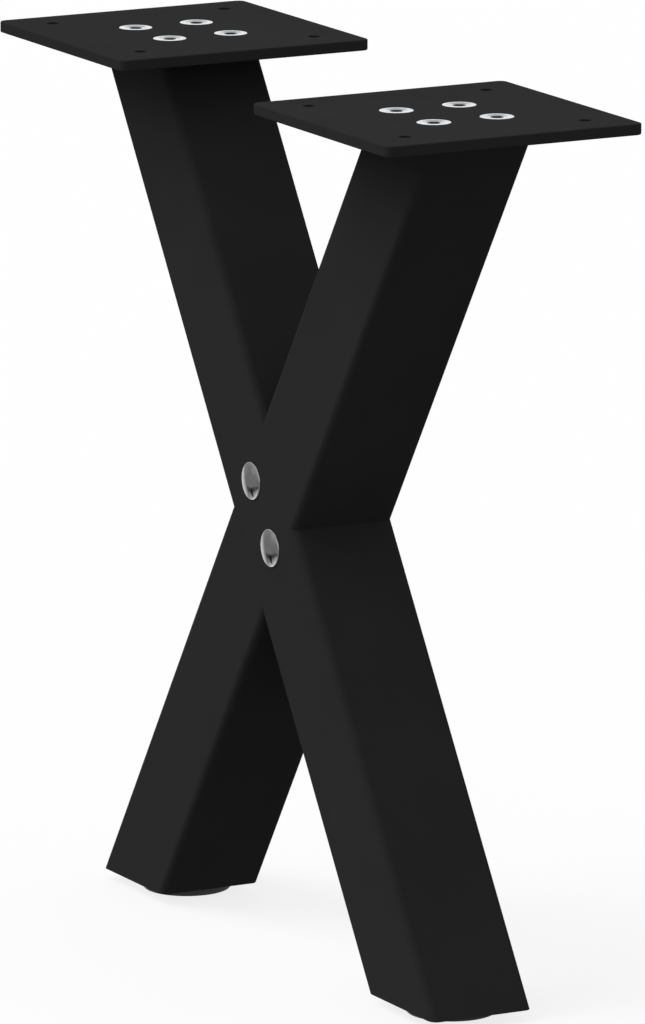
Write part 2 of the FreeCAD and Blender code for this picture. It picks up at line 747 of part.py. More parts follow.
parts = [
    main_arm(),
    half_arm("upper_half_arm", LEAN),
    half_arm("lower_half_arm", LEAN + UPSIDE_DOWN),
    joint_tongue("upper_joint_tongue", LEAN, 1),
    joint_tongue("lower_joint_tongue", LEAN + UPSIDE_DOWN, -1),
]
for level, direction in (("upper", 1), ("lower", -1)):
    parts += [
        cross_bolt(f"{level}_cross_bolt", direction),
        bolt_washer(f"{level}_bolt_washer", direction),
        bolt_nut(f"{level}_bolt_nut", direction),
    ]
for hand, direction in (("left", -1), ("right", 1)):
    parts += [
        mounting_plate(f"{hand}_mounting_plate", direction),
        plate_screws(f"{hand}_plate_screws", direction),
        end_plate(f"{hand}_top_end_plate", direction, top=True),
        end_plate(f"{hand}_foot_end_plate", direction, top=False),
        weld_nut(f"{hand}_weld_nut", direction),
        foot_stud(f"{hand}_foot_stud", direction),
        foot_pad(f"{hand}_foot_pad", direction),
    ]
document.recompute()

# Every object and every finished shape is checked before anything is written

for item in document.Objects:
    if {"Invalid", "Error"} & set(item.State):
        raise SystemExit(f"{item.Label} did not compute: {item.State}")
for part in parts:
    if part.Shape.isNull() or not part.Shape.isValid() or not part.Shape.Solids:
        raise SystemExit(f"{part.Label} has no valid solid")

os.makedirs("parts", exist_ok=True)
for part in parts:
    part.Shape.exportStep(f"parts/{part.Label}.step")
    print(f"{part.Label}: {len(part.Shape.Solids)} solid, {part.Shape.Volume:.1f} mm3")
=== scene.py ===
"""Looks of the x shaped table leg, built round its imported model.

The arms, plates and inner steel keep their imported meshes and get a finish. The turned,
threaded and moulded pieces are surfaces worked out with numpy, each in the place of the
node that it stands for. Lengths are in metres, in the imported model's own frame: +Z is up,
+X runs along the leg's width, and -Y is the face with the domed bolt heads. Sizes that
end in _mm are in millimetres.
"""

import logging
import math
from dataclasses import dataclass
from enum import Enum
from typing import Any, Optional, Union

import bmesh
import bpy
import numpy as np
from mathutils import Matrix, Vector


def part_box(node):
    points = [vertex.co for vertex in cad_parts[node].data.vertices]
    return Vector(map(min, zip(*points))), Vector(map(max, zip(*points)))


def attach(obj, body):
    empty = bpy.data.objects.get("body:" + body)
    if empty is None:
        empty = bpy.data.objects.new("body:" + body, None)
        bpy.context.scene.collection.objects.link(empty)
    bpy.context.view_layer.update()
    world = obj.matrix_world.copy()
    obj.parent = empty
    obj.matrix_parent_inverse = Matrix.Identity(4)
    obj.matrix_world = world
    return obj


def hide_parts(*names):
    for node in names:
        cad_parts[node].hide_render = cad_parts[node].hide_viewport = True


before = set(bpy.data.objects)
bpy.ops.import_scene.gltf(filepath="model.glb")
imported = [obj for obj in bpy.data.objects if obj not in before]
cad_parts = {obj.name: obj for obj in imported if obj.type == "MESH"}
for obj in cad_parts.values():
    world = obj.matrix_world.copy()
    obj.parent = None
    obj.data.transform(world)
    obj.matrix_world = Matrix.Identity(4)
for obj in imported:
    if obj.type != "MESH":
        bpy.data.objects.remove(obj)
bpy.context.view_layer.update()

Tree, Node, Socket = bpy.types.NodeTree, bpy.types.Node, bpy.types.NodeSocket
Colour = tuple[float, float, float, float]
Radius = Union[float, np.ndarray]

MM = 0.001
MM_PER_CM = 10
TAU = 2 * math.pi
X_AXIS, Y_AXIS, Z_AXIS = Vector((1, 0, 0)), Vector((0, 1, 0)), Vector((0, 0, 1))
WHITE: Colour = (1.0, 1.0, 1.0, 1.0)
LOG = logging.getLogger("table_leg")

# Directions in a profile, in degrees: away from the axis, up, down and towards the axis.
OUTWARD, UPWARD, DOWNWARD, INWARD = 0, 90, -90, -180


class Hand(Enum):
    """The two ends of the leg, by the word that starts the names of their nodes."""

    LEFT = "left"
    RIGHT = "right"


class Level(Enum):
    """The two cross bolts, above and below the crossing."""

    UPPER = "upper"
    LOWER = "lower"


class Body(Enum):
    """The rigid bodies that pieces ride on."""

    FRAME = "leg_frame"
    LEFT_FOOT = "left_foot"
    RIGHT_FOOT = "right_foot"

    @staticmethod
    def foot(hand: Hand) -> "Body":
        """The body of one levelling foot."""
        return Body.LEFT_FOOT if hand is Hand.LEFT else Body.RIGHT_FOOT


# Materials

# Nearly all values of a noise pattern lie in the first span, and most of them in the second.
NOISE_SPAN, NOISE_CORE = (0.3, 0.7), (0.35, 0.65)


def linear(hex_colour: str) -> Colour:
    """Turns an sRGB colour into linear light.

    A part p from 0 to 1 gives p / 12.92 up to 0.04045, and above it
    ((p + 0.055) / 1.055) to the power 2.4.

    Args:
        hex_colour: six hex digits after a hash.

    Returns:
        Red, green, blue and an alpha of one.
    """
    parts = [int(hex_colour[start:start + 2], 16) / 255 for start in (1, 3, 5)]
    light = [p / 12.92 if p <= 0.04045 else ((p + 0.055) / 1.055) ** 2.4 for p in parts]
    return (light[0], light[1], light[2], 1.0)


def add_node(tree: Tree, kind: str, inputs: Optional[dict[Union[str, int], Any]] = None,
             **settings: Any) -> Node:
    """Adds a node with its settings, values and links.

    Args:
        tree: the node tree that gets it.
        kind: the node's type name.
        inputs: input socket to a value, or to the output socket that feeds it.
        settings: the node's own properties.

    Returns:
        The new node.
    """
    node = tree.nodes.new(kind)
    for name, value in settings.items():
        setattr(node, name, value)
    for socket, value in (inputs or {}).items():
        if isinstance(value, Socket):
            tree.links.new(value, node.inputs[socket])
        else:
            node.inputs[socket].default_value = value
    return node


@dataclass(frozen=True)
class Finish:
    """A surface finish: a stock material and what was done to it."""

    name: str
    colour: str
    roughness: float
    metallic: float = 0.0
    second_colour: str = "#808080"
    roughness_spread: float = 0.05

    def material(self) -> bpy.types.Material:
        """Makes the finish's material the first time that it is asked for.

        Returns:
            The material, which all pieces of this finish share.
        """
        made = bpy.data.materials.get(self.name)
        if made is None:
            made = bpy.data.materials.new(self.name)
            made.use_nodes = True
            tree = made.node_tree
            tree.nodes.clear()
            shader = add_node(tree, "ShaderNodeBsdfPrincipled", {
                "Base Color": linear(self.colour),
                "Roughness": self.roughness,
                "Metallic": self.metallic,
            })
            add_node(tree, "ShaderNodeOutputMaterial", {"Surface": shader.outputs["BSDF"]})
            self.dress(tree, shader)
        return made

    def dress(self, tree: Tree, shader: Node) -> None:
        """Adds the finish's own pattern to its shader."""

    def noise(self, tree: Tree, grain_mm: float, detail: float = 2.0,
              stretch: tuple[float, float, float] = (1.0, 1.0, 1.0)) -> Socket:
        """A noise pattern in the model's own coordinates.

        Args:
            tree: the material's node tree.
            grain_mm: the size of its grains.
            detail: how many finer layers it has.
            stretch: how much finer it is along each axis.

        Returns:
            Its value, about a half in the middle.
        """
        where = add_node(tree, "ShaderNodeTexCoord")
        scaled = add_node(tree, "ShaderNodeMapping", {
            "Vector": where.outputs["Object"], "Scale": stretch})
        grains = add_node(tree, "ShaderNodeTexNoise", {
            "Vector": scaled.outputs["Vector"], "Scale": 1 / (grain_mm * MM), "Detail": detail})
        return grains.outputs["Fac"]

    def vary(self, tree: Tree, shader: Node, tint: Socket, wear: Socket) -> None:
        """Lets the colour drift to the second one, and the roughness by its spread.

        Args:
            tree: the material's node tree.
            shader: its shader.
            tint: the pattern that the colour follows.
            wear: the pattern that the roughness follows.
        """
        low, high = NOISE_CORE
        share = add_node(tree, "ShaderNodeMapRange", {
            "Value": tint, "From Min": low, "From Max": high})
        # A colour mix takes its colours in sockets 6 and 7, and gives theirs in output 2.
        mixed = add_node(tree, "ShaderNodeMix", {
            0: share.outputs["Result"], 6: linear(self.colour),
            7: linear(self.second_colour)}, data_type="RGBA")
        tree.links.new(mixed.outputs[2], shader.inputs["Base Color"])
        low, high = NOISE_SPAN
        spread = self.roughness_spread
        rough = add_node(tree, "ShaderNodeMapRange", {
            "Value": wear, "From Min": low, "From Max": high,
            "To Min": self.roughness - spread, "To Max": self.roughness + spread})
        tree.links.new(rough.outputs["Result"], shader.inputs["Roughness"])

    def relief(self, tree: Tree, shader: Node, layers: list[tuple[Socket, float]]) -> None:
        """Stacks bumps.

        Args:
            tree: the material's node tree.
            shader: its shader.
            layers: each pattern with its height in millimetres.
        """
        normal = None
        for pattern, height_mm in layers:
            inputs = {"Height": pattern, "Distance": height_mm * MM, "Strength": 1.0}
            if normal is not None:
                inputs["Normal"] = normal
            normal = add_node(tree, "ShaderNodeBump", inputs).outputs["Normal"]
        tree.links.new(normal, shader.inputs["Normal"])


@dataclass(frozen=True)
class PowderCoat(Finish):
    """Polyester powder, sprayed on steel and baked: deep matt black, almost even.

    The melt leaves a faint orange peel about 2 mm wide, and its matting grains break up
    the light. The grains are near 0.1 mm, and are drawn at 0.45 mm so that they show.
    """

    second_colour: str = "#2D2D2D"
    peel_mm: float = 2.2
    peel_height_mm: float = 0.012
    grit_mm: float = 0.45
    grit_height_mm: float = 0.006
    drift_mm: float = 35.0
    gloss: float = 0.004

    def dress(self, tree: Tree, shader: Node) -> None:
        """Adds the orange peel, the grit and a slow drift of shade.

        Args:
            tree: the material's node tree.
            shader: its shader.
        """
        peel = self.noise(tree, self.peel_mm)
        grit = self.noise(tree, self.grit_mm, detail=3.0)
        self.vary(tree, shader, self.noise(tree, self.drift_mm), grit)
        self.relief(tree, shader, [(peel, self.peel_height_mm), (grit, self.grit_height_mm)])
        shader.inputs["Specular IOR Level"].default_value = self.gloss


@dataclass(frozen=True)
class TurnedMetal(Finish):
    """Plated steel that was turned or rolled: fine rings that follow the tool.

    The rings run round the piece, so they read its own UV map, whose second coordinate
    is the distance along its profile in centimetres.
    """

    second_colour: str = "#C4C8CC"
    ring_mm: float = 0.12
    ring_height_mm: float = 0.003
    wavers_per_turn: float = 2.0
    stain_mm: float = 3.0
    roughness_spread: float = 0.06

    def dress(self, tree: Tree, shader: Node) -> None:
        """Adds the tool's rings and the plating's faint stains.

        Args:
            tree: the material's node tree.
            shader: its shader.
        """
        where = add_node(tree, "ShaderNodeUVMap", uv_map=Skin.UV)
        along = add_node(tree, "ShaderNodeMapping", {
            "Vector": where.outputs["UV"],
            "Scale": (self.wavers_per_turn, MM_PER_CM / self.ring_mm, 1.0)})
        rings = add_node(tree, "ShaderNodeTexNoise", {
            "Vector": along.outputs["Vector"], "Scale": 1.0, "Detail": 2.0}).outputs["Fac"]
        stains = self.noise(tree, self.stain_mm)
        self.vary(tree, shader, stains, rings)
        self.relief(tree, shader, [(rings, self.ring_height_mm)])


@dataclass(frozen=True)
class PolishedPlate(Finish):
    """Bright nickel over steel: a mirror with a faint haze and the odd buffing swirl."""

    second_colour: str = "#B4B4B4"
    haze_mm: float = 1.6
    swirl_mm: float = 0.35
    swirl_height_mm: float = 0.0004
    swirl_stretch: float = 3.0
    roughness_spread: float = 0.03

    def dress(self, tree: Tree, shader: Node) -> None:
        """Adds the haze and the swirls.

        Args:
            tree: the material's node tree.
            shader: its shader.
        """
        haze = self.noise(tree, self.haze_mm)
        swirl = self.noise(tree, self.swirl_mm, detail=4.0, stretch=(1.0, 1.0, self.swirl_stretch))
        self.vary(tree, shader, haze, haze)
        self.relief(tree, shader, [(swirl, self.swirl_height_mm)])


@dataclass(frozen=True)
class MouldedNylon(Finish):
    """Black nylon from a spark-eroded mould: satin, with a pebbled skin 0.25 mm fine."""

    second_colour: str = "#484848"
    pebble_mm: float = 0.25
    pebble_height_mm: float = 0.004
    flow_mm: float = 6.0
    ior: float = 1.53

    def dress(self, tree: Tree, shader: Node) -> None:
        """Adds the mould's pebbles and the melt's flow marks.

        Args:
            tree: the material's node tree.
            shader: its shader.
        """
        pebbles = self.noise(tree, self.pebble_mm, detail=1.0)
        flow = self.noise(tree, self.flow_mm)
        self.vary(tree, shader, flow, flow)
        self.relief(tree, shader, [(pebbles, self.pebble_height_mm)])
        shader.inputs["IOR"].default_value = self.ior


@dataclass(frozen=True)
class MillSteel(Finish):
    """Plain mild steel as rolled: blue-grey scale with streaks along the strip."""

    second_colour: str = "#4A4744"
    scale_mm: float = 5.0
    scale_height_mm: float = 0.01
    streak_mm: float = 1.2
    streak_stretch: float = 0.05
    roughness_spread: float = 0.08

    def dress(self, tree: Tree, shader: Node) -> None:
        """Adds the scale's patches and the rolling streaks.

        Args:
            tree: the material's node tree.
            shader: its shader.
        """
        scale = self.noise(tree, self.scale_mm, detail=4.0)
        streaks = self.noise(tree, self.streak_mm, stretch=(1.0, 1.0, self.streak_stretch))
        self.vary(tree, shader, scale, streaks)
        self.relief(tree, shader, [(scale, self.scale_height_mm)])


POWDER_COAT = PowderCoat("powder_coated_steel", "#2B2B2B", 0.85)
BRIGHT_ZINC = TurnedMetal("bright_zinc_turned_steel", "#D4D6D7", 0.3, 1.0)
# Painted shade: a darker zinc for the socket walls and floor, standing for the shade deep in the
# hexagon socket.
SOCKET_PAINTED_SHADE = TurnedMetal("zinc_darkened_for_painted_socket_shade", "#707172", 0.5, 1.0, "#606162")
ROLLED_ZINC = TurnedMetal("bright_zinc_rolled_thread", "#C9CCCF", 0.34, 1.0, ring_mm=0.3)
NICKEL = PolishedPlate("polished_nickel_plate", "#C4C4C4", 0.09, 1.0)
NYLON = MouldedNylon("moulded_black_nylon", "#414141", 0.24)
STEEL = MillSteel("mill_scale_steel", "#5C5E61", 0.48, 1.0)


# Surfaces

# Points nearer to each other than this, in metres, are one. Edges sharper than this stay sharp.
MERGE_DISTANCE = 1e-7
SHARP_DEG = 32.0


class Skin:
    """A closed skin through a stack of rings round one axis.

    Ring k has a radius r(a) and a height z(a) at each turn a round the axis, so its
    points are (r cos a, r sin a, z). Neighbouring rings are joined by quads, and a stack
    closes at a pole on the axis at each end, or joins its last ring to its first.
    """

    UV = "profile"
    # The length in the UV map of the quads that join the last ring to the first.
    CLOSING_CM = 0.1
    # A metric thread's depth and the flats at its crest and root, in pitches.
    THREAD_DEPTH = 0.6134
    CREST_FLAT = 0.125
    ROOT_FLAT = 0.25
    # The rings in one pitch of a thread.
    THREAD_ROWS = 10

    def __init__(self, around: int = 72) -> None:
        """Starts an empty stack.

        Args:
            around: the number of points in each ring.
        """
        self.turns = np.arange(around) * TAU / around
        self.radii: list[np.ndarray] = []
        self.heights: list[np.ndarray] = []
        self.seams: list[int] = []
        self.poles: list[Optional[float]] = [None, None]
        self.first_shade_painted: float = math.inf

    def start(self, height_mm: float) -> "Skin":
        """Puts the first pole on the axis."""
        self.poles[0] = height_mm
        return self

    def end(self, height_mm: float) -> "Skin":
        """Puts the last pole on the axis."""
        self.poles[1] = height_mm
        return self

    def ring(self, radius_mm: Radius, height_mm: Radius) -> "Skin":
        """Adds one ring, round or of any shape.

        Args:
            radius_mm: one radius, or one for each turn.
            height_mm: one height, or one for each turn.

        Returns:
            The stack itself.
        """
        self.seams.append(len(self.radii))
        self.radii.append(np.full(len(self.turns), radius_mm, float))
        self.heights.append(np.full(len(self.turns), height_mm, float))
        return self

    def arc(self, centre_mm: tuple[float, float], radius_mm: float,
            start_deg: float, end_deg: float, steps: int) -> "Skin":
        """Adds rings along an arc of the profile.

        A point at angle t is (centre r + radius cos t, centre z + radius sin t).

        Args:
            centre_mm: the arc's centre, as its distance from the axis and its height.
            radius_mm: the arc's radius.
            start_deg: its first angle, from straight outwards, rising upwards.
            end_deg: its last angle.
            steps: the number of spans.

        Returns:
            The stack itself.
        """
        for angle in np.radians(np.linspace(start_deg, end_deg, steps + 1)):
            self.ring(centre_mm[0] + radius_mm * math.cos(angle),
                      centre_mm[1] + radius_mm * math.sin(angle))
        return self

    def flats(self, across_mm: float, sides: int = 6, corner_mm: Optional[float] = None) -> np.ndarray:
        """The radius of a regular prism at each turn: half its flats over cos(turn from a flat).

        Args:
            across_mm: the distance across flats.
            sides: the number of flats.
            corner_mm: where given, the largest radius, which rounds the corners.

        Returns:
            One radius for each turn.
        """
        wedge = TAU / sides
        off_flat = (self.turns % wedge) - wedge / 2
        radius = across_mm / 2 / np.cos(off_flat)
        return radius if corner_mm is None else np.minimum(radius, corner_mm)

    def thread(self, outer_mm: float, pitch_mm: float,
               low_mm: float, high_mm: float, bevel_mm: float) -> "Skin":
        """Adds a rolled thread whose rings climb one pitch in a turn.

        With p the height less the climb so far, in pitches, the thread's height is
        a triangle wave of p whose crest is flat for an eighth of a pitch and whose root
        is flat for a quarter. It fades in over one pitch at the low end, and a cone of
        45 degrees bevels the high end.

        Args:
            outer_mm: the radius over the crests.
            pitch_mm: the climb of one turn.
            low_mm: the height where it starts.
            high_mm: the height where it ends.
            bevel_mm: the bevel at its high end.

        Returns:
            The stack itself.
        """
        depth, rows = self.THREAD_DEPTH * pitch_mm, self.THREAD_ROWS
        climb = self.turns / TAU - 1
        count = int(math.ceil((high_mm - low_mm) / pitch_mm + 1)) * rows + 1
        first = len(self.radii)
        for row in range(count):
            free = low_mm + (row / rows + climb) * pitch_mm
            height = np.clip(free, low_mm, high_mm)
            phase = (height - low_mm) / pitch_mm - climb
            wave = 1 - np.abs(2 * (phase % 1) - 1)
            crest = np.clip((wave - self.ROOT_FLAT) / (1 - self.ROOT_FLAT - self.CREST_FLAT), 0, 1)
            fade = np.clip((height - low_mm) / pitch_mm, 0, 1)
            radius = outer_mm - depth * (1 - crest) * fade
            radius = np.minimum(radius, outer_mm - bevel_mm + (high_mm - height))
            self.ring(radius, height)
            self.seams[-1] = min(first + row + rows, first + count - 1)
        return self

    def line(self) -> "Skin":
        """Lets the skin past the last ring take the piece's second finish, which is painted shade, as
        inside a screw's socket.
        """
        self.first_shade_painted = (len(self.radii) - 1) * len(self.turns)
        return self

    def points(self) -> np.ndarray:
        """Works out the points, (r cos a, r sin a, z) at each turn a of each ring.

        Returns:
            The rings' points in one array, then the poles, in metres about the axis.
        """
        radii, heights = np.array(self.radii), np.array(self.heights)
        grid = np.stack([radii * np.cos(self.turns), radii * np.sin(self.turns), heights], -1)
        poles = [[0.0, 0.0, height] for height in self.poles if height is not None]
        return np.concatenate([grid.reshape(-1, 3), np.array(poles).reshape(-1, 3)]) * MM

    def quads(self) -> tuple[np.ndarray, np.ndarray]:
        """The quads between neighbouring rings, and the place of their corners.

        Returns:
            Four point numbers for each quad, and four pairs of turn and profile length.
        """
        count, around = len(self.radii), len(self.turns)
        closed = self.poles == [None, None]
        lower = np.arange(count if closed else count - 1)
        upper = (lower + 1) % count
        seams = np.array(self.seams)
        column = np.arange(around)

        def corner(rows: np.ndarray, columns: np.ndarray) -> np.ndarray:
            """Numbers points. Past the last column comes the first of the row's seam ring.

            Args:
                rows: the rings' numbers.
                columns: the columns' numbers.

            Returns:
                The point numbers, a row for each ring.
            """
            wrapped = columns == around
            row_grid = np.where(wrapped[None, :], seams[rows][:, None], rows[:, None])
            return row_grid * around + np.where(wrapped, 0, columns)[None, :]

        faces = np.stack([corner(lower, column), corner(lower, column + 1),
                          corner(upper, column + 1), corner(upper, column)], -1)
        steps = np.hypot(np.diff([r.mean() for r in self.radii]),
                         np.diff([z.mean() for z in self.heights]))
        length = np.concatenate([[0.0], np.cumsum(steps)]) / MM_PER_CM
        ends = np.append(length, length[-1] + self.CLOSING_CM)
        low = np.broadcast_to(ends[lower][:, None], (len(lower), around))
        high = np.broadcast_to(ends[lower + 1][:, None], (len(lower), around))
        left = np.broadcast_to(column / around, low.shape)
        right = np.broadcast_to((column + 1) / around, low.shape)
        places = np.stack([np.stack([left, low], -1), np.stack([right, low], -1),
                           np.stack([right, high], -1), np.stack([left, high], -1)], 2)
        return faces.reshape(-1, 4), places.reshape(-1, 4, 2)

    def fans(self) -> np.ndarray:
        """Closes the ends at their poles.

        Returns:
            Three point numbers for each triangle.
        """
        around = len(self.turns)
        pole = len(self.radii) * around
        last = pole - around
        here = np.arange(around)
        after = (here + 1) % around
        made = [np.zeros((0, 3), int)]
        if self.poles[0] is not None:
            made.append(np.stack([np.full(around, pole), after, here], -1))
            pole += 1
        if self.poles[1] is not None:
            made.append(np.stack([np.full(around, pole), last + here, last + after], -1))
        return np.concatenate(made)


def new_piece(name: str, skins: list[tuple[Skin, np.ndarray]], *finishes: Finish) -> bpy.types.Object:
    """Joins one or more placed skins into one object, with its place in its mesh.

    Args:
        name: the piece's name.
        skins: each skin with the 4 by 4 matrix that places it.
        finishes: its surface finish, and a second one, of painted shade, for the skin past its shade
            mark if it has any.

    Returns:
        The new object, at the origin.
    """
    points, faces, places, shade_painted, offset = [], [], [], [], 0
    for skin, matrix in skins:
        local = skin.points()
        points.append(local @ matrix[:3, :3].T + matrix[:3, 3])
        quads, corners = skin.quads()
        fans = skin.fans()
        places += [corners.reshape(-1, 2), np.zeros((3 * len(fans), 2))]
        for made in (quads, fans):
            faces += (made + offset).tolist()
            # Faces past the skin's shade mark take the second finish, which is painted shade.
            shade_painted += (made.min(1) >= skin.first_shade_painted).tolist()
        offset += len(local)
    mesh = bpy.data.meshes.new(name)
    mesh.from_pydata(np.concatenate(points).tolist(), [], faces)
    layer = mesh.uv_layers.new(name=Skin.UV)
    layer.data.foreach_set("uv", np.concatenate(places).astype(np.float32).ravel())
    mesh.polygons.foreach_set("material_index", np.array(shade_painted, np.int32))
    tidy = bmesh.new()
    tidy.from_mesh(mesh)
    bmesh.ops.remove_doubles(tidy, verts=tidy.verts, dist=MERGE_DISTANCE)
    bmesh.ops.dissolve_degenerate(tidy, edges=tidy.edges, dist=MERGE_DISTANCE)
    bmesh.ops.recalc_face_normals(tidy, faces=tidy.faces)
    tidy.to_mesh(mesh)
    tidy.free()
    mesh.shade_smooth()
    mesh.set_sharp_from_angle(angle=math.radians(SHARP_DEG))
    for finish in finishes:
        mesh.materials.append(finish.material())
    piece = bpy.data.objects.new(name, mesh)
    bpy.context.scene.collection.objects.link(piece)
    return piece


def placed(origin: Vector, x_axis: Vector, z_axis: Vector) -> np.ndarray:
    """The matrix of a piece whose own axes point along two given directions.

    Args:
        origin: where its own origin goes.
        x_axis: the direction of its own X.
        z_axis: the direction of its own Z, square to the first.

    Returns:
        A 4 by 4 matrix.
    """
    y_axis = z_axis.cross(x_axis)
    matrix = np.identity(4)
    matrix[:3, 0], matrix[:3, 1], matrix[:3, 2] = x_axis, y_axis, z_axis
    matrix[:3, 3] = origin
    return matrix


def middle(node: str) -> Vector:
    """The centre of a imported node's box."""
    low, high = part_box(node)
    return (low + high) / 2


def stand_in(piece: bpy.types.Object, body: Body, slot: str, *nodes: str) -> None:
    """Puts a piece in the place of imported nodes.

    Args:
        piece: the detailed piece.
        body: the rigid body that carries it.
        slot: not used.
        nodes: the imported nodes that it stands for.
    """
    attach(piece, body.value)
    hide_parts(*nodes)
    LOG.info("%s stands for %s: %d faces", piece.name, ", ".join(nodes), len(piece.data.polygons))


def dress_node(node: str, finish: Finish) -> None:
    """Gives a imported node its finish, and leaves its mesh alone.

    Args:
        node: the node's name.
        finish: its finish.
    """
    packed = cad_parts[node]
    for slot in packed.material_slots:
        slot.material = finish.material()
    LOG.info("%s keeps its packed mesh, in %s", node, finish.name)


# Sub-assemblies

@dataclass
class CoatedFrame:
    """The tube arms, mounting plates and welded inner steel."""

    coated: tuple[str, ...] = (
        "main_arm", "upper_half_arm", "lower_half_arm",
        "left_mounting_plate", "right_mounting_plate",
        "left_foot_end_plate", "right_foot_end_plate",
    )
    bare: tuple[str, ...] = (
        "upper_joint_tongue", "lower_joint_tongue",
        "left_top_end_plate", "right_top_end_plate",
        "left_weld_nut", "right_weld_nut",
    )

    def build(self) -> None:
        """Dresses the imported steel: coated where air reaches it, bare inside."""
        for node in self.coated:
            dress_node(node, POWDER_COAT)
        for node in self.bare:
            dress_node(node, STEEL)

    @staticmethod
    def lean() -> float:
        """The whole arm's lean from upright, in radians, from the two bolts along it."""
        apart = middle("lower_cross_bolt") - middle("upper_cross_bolt")
        return math.atan2(apart.x, -apart.z)


@dataclass
class FootWelds:
    """The weld bead round each foot end plate, where it meets the tube."""

    width_mm: float = 1.5
    proud_mm: float = 0.2
    root_mm: float = 0.3
    ripple: float = 0.35
    ripples: int = 70
    points_per_ripple: int = 4
    points_across: int = 9
    squareness: float = 14.0
    overlap_mm: float = 0.1

    def bead(self, half_x: float, half_y: float) -> Skin:
        """A rippled bead along a rounded rectangle, hanging below height zero.

        At turn a its path has the radius (|cos a / X|^n + |sin a / Y|^n)^(-1/n), with X
        and Y the half sizes and n the squareness. Its section is half an ellipse.

        Args:
            half_x: half the rectangle's width in millimetres.
            half_y: half its depth in millimetres.

        Returns:
            The bead's skin.
        """
        skin = Skin(self.points_per_ripple * self.ripples)
        power = self.squareness
        path = (np.abs(np.cos(skin.turns) / half_x) ** power
                + np.abs(np.sin(skin.turns) / half_y) ** power) ** (-1 / power)
        wave = 1 - self.ripple * (0.5 + 0.5 * np.cos(self.ripples * skin.turns))
        for angle in np.linspace(0, math.pi, self.points_across):
            skin.ring(path + self.width_mm / 2 * math.cos(angle),
                      -self.proud_mm * math.sin(angle) * wave)
        skin.ring(path - self.width_mm / 2, self.root_mm)
        return skin.ring(path + self.width_mm / 2, self.root_mm)

    def build(self) -> None:
        """Makes a bead under each arm, round the lower face of its end plate.

        The plate leans with its tube, so its box is wider than that face by its
        thickness times the tangent of the lean, on the side towards the crossing.
        """
        lean = CoatedFrame.lean()
        for hand in Hand:
            low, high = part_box(f"{hand.value}_foot_end_plate")
            shift = (high.z - low.z) * math.tan(lean)
            half_x = (high.x - low.x - shift) / 2
            outer = low.x + half_x if hand is Hand.LEFT else high.x - half_x
            bead = self.bead(half_x / MM + self.overlap_mm, (high.y - low.y) / 2 / MM + self.overlap_mm)
            there = placed(Vector((outer, (low.y + high.y) / 2, low.z)), X_AXIS, Z_AXIS)
            piece = new_piece(f"{hand.value}_foot_weld_bead", [(bead, there)], POWDER_COAT)
            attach(piece, Body.FRAME.value)


@dataclass
class PlateScrews:
    """The countersunk screws with hexagon sockets that hold a plate to its arm."""

    head_mm: float = 12.0
    land_mm: float = 0.2
    edge_mm: float = 0.12
    edge_start_deg: float = -20.0
    length_mm: float = 12.0
    thread_mm: float = 6.0
    pitch_mm: float = 1.0
    thread_bevel_mm: float = 0.7
    runout_mm: float = 0.2
    socket_mm: float = 4.0
    socket_depth_mm: float = 2.2
    socket_mouth_mm: float = 4.64
    mouth_slope_deg: float = 30.0
    drill_point_mm: float = 0.5
    dish_mm: float = 8.0
    dish_floor_mm: float = 7.2
    dish_depth_mm: float = 0.22

    def screw(self) -> Skin:
        """Draws one screw along Z, with its head's face at height zero.

        Its profile runs from the tip up the thread, the cone and the rim, and down the dished face
        and the hexagon socket, which takes the second finish: darker zinc that is painted shade.

        Returns:
            Its skin.
        """
        head, thread = self.head_mm / 2, self.thread_mm / 2
        edge, mouth, sunk = self.edge_mm, self.socket_mouth_mm / 2, self.dish_depth_mm
        skin = Skin()
        walls = skin.flats(self.socket_mm)
        dip = (mouth - walls) * math.tan(math.radians(self.mouth_slope_deg))
        neck = thread - head - self.land_mm
        skin.start(-self.length_mm)
        skin.ring(thread - self.thread_bevel_mm, -self.length_mm)
        self.flipped_thread(skin, thread, -self.length_mm, neck - self.runout_mm)
        skin.ring(thread, neck)
        skin.ring(head - edge, -self.land_mm - edge)
        skin.arc((head - edge, -edge), edge, self.edge_start_deg, UPWARD, steps=4)
        skin.ring(self.dish_mm / 2, 0.0).ring(self.dish_floor_mm / 2, -sunk)
        # From the socket's mouth down, the skin takes the painted socket shade.
        skin.ring(mouth, -sunk).line()
        skin.ring(walls, -sunk - dip)
        skin.ring(walls, -self.socket_depth_mm)
        return skin.end(-self.socket_depth_mm - self.drill_point_mm)

    def flipped_thread(self, skin: Skin, thread: float, low: float, high: float) -> None:
        """Adds a thread bevelled at its low end: an upright one turned over, z to -z.

        Args:
            skin: the screw's skin.
            thread: the radius over the crests in millimetres.
            low: the height of the screw's tip.
            high: the height where the thread ends.
        """
        upward = Skin(len(skin.turns)).thread(thread, self.pitch_mm, -high, -low,
                                              self.thread_bevel_mm)
        first, count = len(skin.radii), len(upward.radii)
        for row in range(count - 1, -1, -1):
            skin.ring(upward.radii[row], -upward.heights[row])
            skin.seams[-1] = first + count - 1 - upward.seams[row]

    def build(self) -> None:
        """Makes both groups of four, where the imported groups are."""
        reach = self.head_mm / 2 * MM
        for hand in Hand:
            node = f"{hand.value}_plate_screws"
            low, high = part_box(node)
            xs, ys = (low.x + reach, high.x - reach), (low.y + reach, high.y - reach)
            corners = [Vector((x, y, high.z)) for x in xs for y in ys]
            skins = [(self.screw(), placed(corner, X_AXIS, Z_AXIS)) for corner in corners]
            # The second finish is painted shade inside the sockets.
            piece = new_piece(f"{hand.value}_socket_screws", skins, BRIGHT_ZINC, SOCKET_PAINTED_SHADE)
            stand_in(piece, Body.FRAME, "zinc_plate", node)


